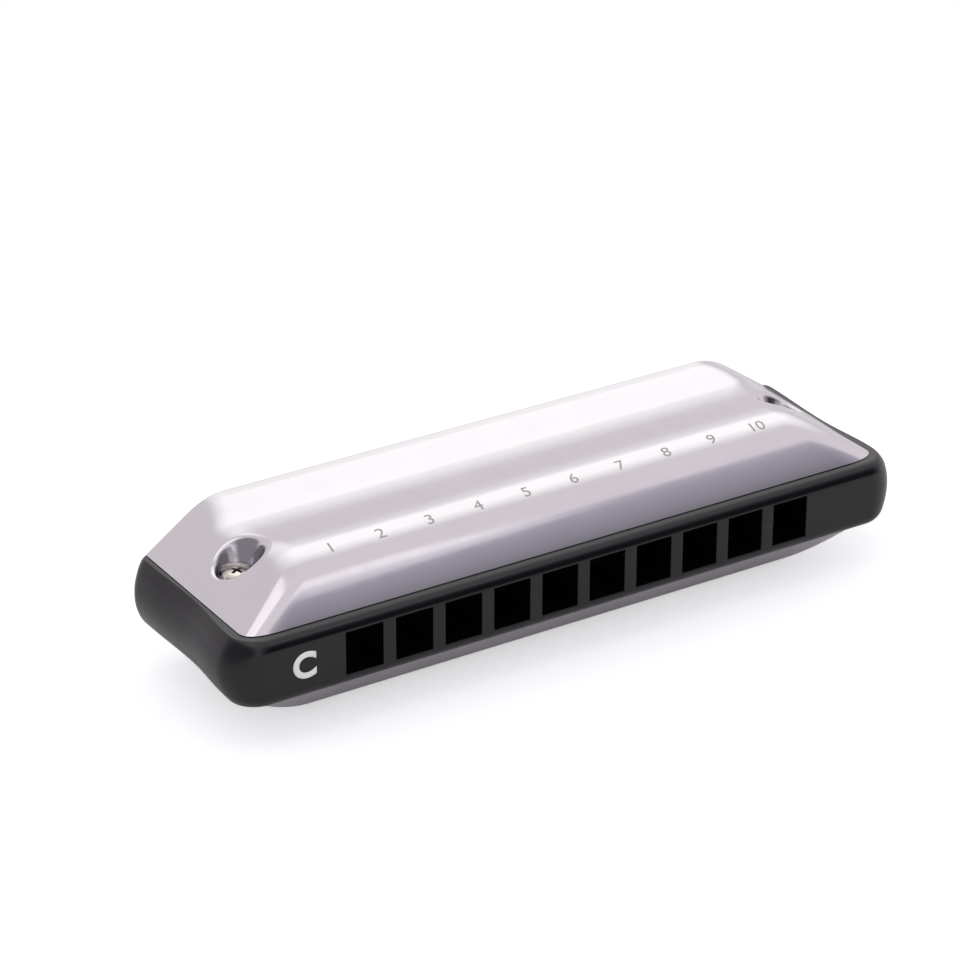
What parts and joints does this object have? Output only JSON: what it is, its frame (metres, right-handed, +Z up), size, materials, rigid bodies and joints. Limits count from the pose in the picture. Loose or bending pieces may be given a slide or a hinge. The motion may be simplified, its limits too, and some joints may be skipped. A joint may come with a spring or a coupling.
{
  "type": "diatonic harmonica",
  "caption": "Pocket mouth organ: a black comb with a row of square mouth holes between pressed steel covers, with brass reed plates and free reeds inside.",
  "frame": {"origin": "middle of the footprint, on the plane that the lower cover rests on", "axes": "+X along the row of holes towards the high notes, +Y from the mouthpiece towards the open rear, +Z up through the upper cover"},
  "size_m": [0.1058, 0.0304, 0.0226],
  "materials": {
    "comb_plastic": "black moulded ABS, semi-gloss",
    "cover_steel": "pressed stainless sheet, fine satin",
    "plate_brass": "rolled sheet, satin",
    "reed_brass": "milled and polished",
    "rivet_brass": "upset heads, satin",
    "screw_steel": "plated steel, bright"
  },
  "bodies": {
    "housing": {"comb": "comb_plastic", "upper_cover": "cover_steel", "lower_cover": "cover_steel", "upper_reed_plate": "plate_brass", "lower_reed_plate": "plate_brass", "blow_rivet_01": "rivet_brass", "blow_rivet_02": "rivet_brass", "blow_rivet_03": "rivet_brass", "blow_rivet_04": "rivet_brass", "blow_rivet_05": "rivet_brass", "blow_rivet_06": "rivet_brass", "blow_rivet_07": "rivet_brass", "blow_rivet_08": "rivet_brass", "blow_rivet_09": "rivet_brass", "blow_rivet_10": "rivet_brass", "draw_rivet_01": "rivet_brass", "draw_rivet_02": "rivet_brass", "draw_rivet_03": "rivet_brass", "draw_rivet_04": "rivet_brass", "draw_rivet_05": "rivet_brass", "draw_rivet_06": "rivet_brass", "draw_rivet_07": "rivet_brass", "draw_rivet_08": "rivet_brass", "draw_rivet_09": "rivet_brass", "draw_rivet_10": "rivet_brass", "upper_plate_screw_1": "screw_steel", "upper_plate_screw_2": "screw_steel", "upper_plate_screw_3": "screw_steel", "upper_plate_screw_4": "screw_steel", "upper_plate_screw_5": "screw_steel", "lower_plate_screw_1": "screw_steel", "lower_plate_screw_2": "screw_steel", "lower_plate_screw_3": "screw_steel", "lower_plate_screw_4": "screw_steel", "lower_plate_screw_5": "screw_steel", "cover_screw_left": "screw_steel", "cover_screw_right": "screw_steel", "cover_nut_left": "screw_steel", "cover_nut_right": "screw_steel"},
    "blow_reed_01": {"blow_reed_01": "reed_brass"},
    "blow_reed_02": {"blow_reed_02": "reed_brass"},
    "blow_reed_03": {"blow_reed_03": "reed_brass"},
    "blow_reed_04": {"blow_reed_04": "reed_brass"},
    "blow_reed_05": {"blow_reed_05": "reed_brass"},
    "blow_reed_06": {"blow_reed_06": "reed_brass"},
    "blow_reed_07": {"blow_reed_07": "reed_brass"},
    "blow_reed_08": {"blow_reed_08": "reed_brass"},
    "blow_reed_09": {"blow_reed_09": "reed_brass"},
    "blow_reed_10": {"blow_reed_10": "reed_brass"},
    "draw_reed_01": {"draw_reed_01": "reed_brass"},
    "draw_reed_02": {"draw_reed_02": "reed_brass"},
    "draw_reed_03": {"draw_reed_03": "reed_brass"},
    "draw_reed_04": {"draw_reed_04": "reed_brass"},
    "draw_reed_05": {"draw_reed_05": "reed_brass"},
    "draw_reed_06": {"draw_reed_06": "reed_brass"},
    "draw_reed_07": {"draw_reed_07": "reed_brass"},
    "draw_reed_08": {"draw_reed_08": "reed_brass"},
    "draw_reed_09": {"draw_reed_09": "reed_brass"},
    "draw_reed_10": {"draw_reed_10": "reed_brass"}
  },
  "joints": [
    {"name": "blow_reed_01_bend", "type": "hinge", "parent": "housing", "child": "blow_reed_01", "pos_m": [-0.03375, 0.0088, 0.01473], "axis": [-1, 0, 0], "range_deg": [-4, 4], "stiffness_Nm_per_rad": 0.0503},
    {"name": "draw_reed_01_bend", "type": "hinge", "parent": "housing", "child": "draw_reed_01", "pos_m": [-0.03375, -0.00711, 0.00632], "axis": [1, 0, 0], "range_deg": [-4, 4], "stiffness_Nm_per_rad": 0.0503},
    {"name": "blow_reed_02_bend", "type": "hinge", "parent": "housing", "child": "blow_reed_02", "pos_m": [-0.02625, 0.00808, 0.01473], "axis": [-1, 0, 0], "range_deg": [-4, 4], "stiffness_Nm_per_rad": 0.0527},
    {"name": "draw_reed_02_bend", "type": "hinge", "parent": "housing", "child": "draw_reed_02", "pos_m": [-0.02625, -0.00711, 0.00632], "axis": [1, 0, 0], "range_deg": [-4, 4], "stiffness_Nm_per_rad": 0.0527},
    {"name": "blow_reed_03_bend", "type": "hinge", "parent": "housing", "child": "blow_reed_03", "pos_m": [-0.01875, 0.00736, 0.01473], "axis": [-1, 0, 0], "range_deg": [-4, 4], "stiffness_Nm_per_rad": 0.0553},
    {"name": "draw_reed_03_bend", "type": "hinge", "parent": "housing", "child": "draw_reed_03", "pos_m": [-0.01875, -0.00711, 0.00632], "axis": [1, 0, 0], "range_deg": [-4, 4], "stiffness_Nm_per_rad": 0.0553},
    {"name": "blow_reed_04_bend", "type": "hinge", "parent": "housing", "child": "blow_reed_04", "pos_m": [-0.01125, 0.00664, 0.01473], "axis": [-1, 0, 0], "range_deg": [-4, 4], "stiffness_Nm_per_rad": 0.0582},
    {"name": "draw_reed_04_bend", "type": "hinge", "parent": "housing", "child": "draw_reed_04", "pos_m": [-0.01125, -0.00711, 0.00632], "axis": [1, 0, 0], "range_deg": [-4, 4], "stiffness_Nm_per_rad": 0.0582},
    {"name": "blow_reed_05_bend", "type": "hinge", "parent": "housing", "child": "blow_reed_05", "pos_m": [-0.00375, 0.00592, 0.01473], "axis": [-1, 0, 0], "range_deg": [-4, 4], "stiffness_Nm_per_rad": 0.0614},
    {"name": "draw_reed_05_bend", "type": "hinge", "parent": "housing", "child": "draw_reed_05", "pos_m": [-0.00375, -0.00711, 0.00632], "axis": [1, 0, 0], "range_deg": [-4, 4], "stiffness_Nm_per_rad": 0.0614},
    {"name": "blow_reed_06_bend", "type": "hinge", "parent": "housing", "child": "blow_reed_06", "pos_m": [0.00375, 0.0052, 0.01473], "axis": [-1, 0, 0], "range_deg": [-4, 4], "stiffness_Nm_per_rad": 0.065},
    {"name": "draw_reed_06_bend", "type": "hinge", "parent": "housing", "child": "draw_reed_06", "pos_m": [0.00375, -0.00711, 0.00632], "axis": [1, 0, 0], "range_deg": [-4, 4], "stiffness_Nm_per_rad": 0.065},
    {"name": "blow_reed_07_bend", "type": "hinge", "parent": "housing", "child": "blow_reed_07", "pos_m": [0.01125, 0.00448, 0.01473], "axis": [-1, 0, 0], "range_deg": [-4, 4], "stiffness_Nm_per_rad": 0.069},
    {"name": "draw_reed_07_bend", "type": "hinge", "parent": "housing", "child": "draw_reed_07", "pos_m": [0.01125, -0.00711, 0.00632], "axis": [1, 0, 0], "range_deg": [-4, 4], "stiffness_Nm_per_rad": 0.069},
    {"name": "blow_reed_08_bend", "type": "hinge", "parent": "housing", "child": "blow_reed_08", "pos_m": [0.01875, 0.00376, 0.01473], "axis": [-1, 0, 0], "range_deg": [-4, 4], "stiffness_Nm_per_rad": 0.0736},
    {"name": "draw_reed_08_bend", "type": "hinge", "parent": "housing", "child": "draw_reed_08", "pos_m": [0.01875, -0.00711, 0.00632], "axis": [1, 0, 0], "range_deg": [-4, 4], "stiffness_Nm_per_rad": 0.0736},
    {"name": "blow_reed_09_bend", "type": "hinge", "parent": "housing", "child": "blow_reed_09", "pos_m": [0.02625, 0.00304, 0.01473], "axis": [-1, 0, 0], "range_deg": [-4, 4], "stiffness_Nm_per_rad": 0.0788},
    {"name": "draw_reed_09_bend", "type": "hinge", "parent": "housing", "child": "draw_reed_09", "pos_m": [0.02625, -0.00711, 0.00632], "axis": [1, 0, 0], "range_deg": [-4, 4], "stiffness_Nm_per_rad": 0.0788},
    {"name": "blow_reed_10_bend", "type": "hinge", "parent": "housing", "child": "blow_reed_10", "pos_m": [0.03375, 0.00232, 0.01473], "axis": [-1, 0, 0], "range_deg": [-4, 4], "stiffness_Nm_per_rad": 0.0848},
    {"name": "draw_reed_10_bend", "type": "hinge", "parent": "housing", "child": "draw_reed_10", "pos_m": [0.03375, -0.00711, 0.00632], "axis": [1, 0, 0], "range_deg": [-4, 4], "stiffness_Nm_per_rad": 0.0848}
  ]
}
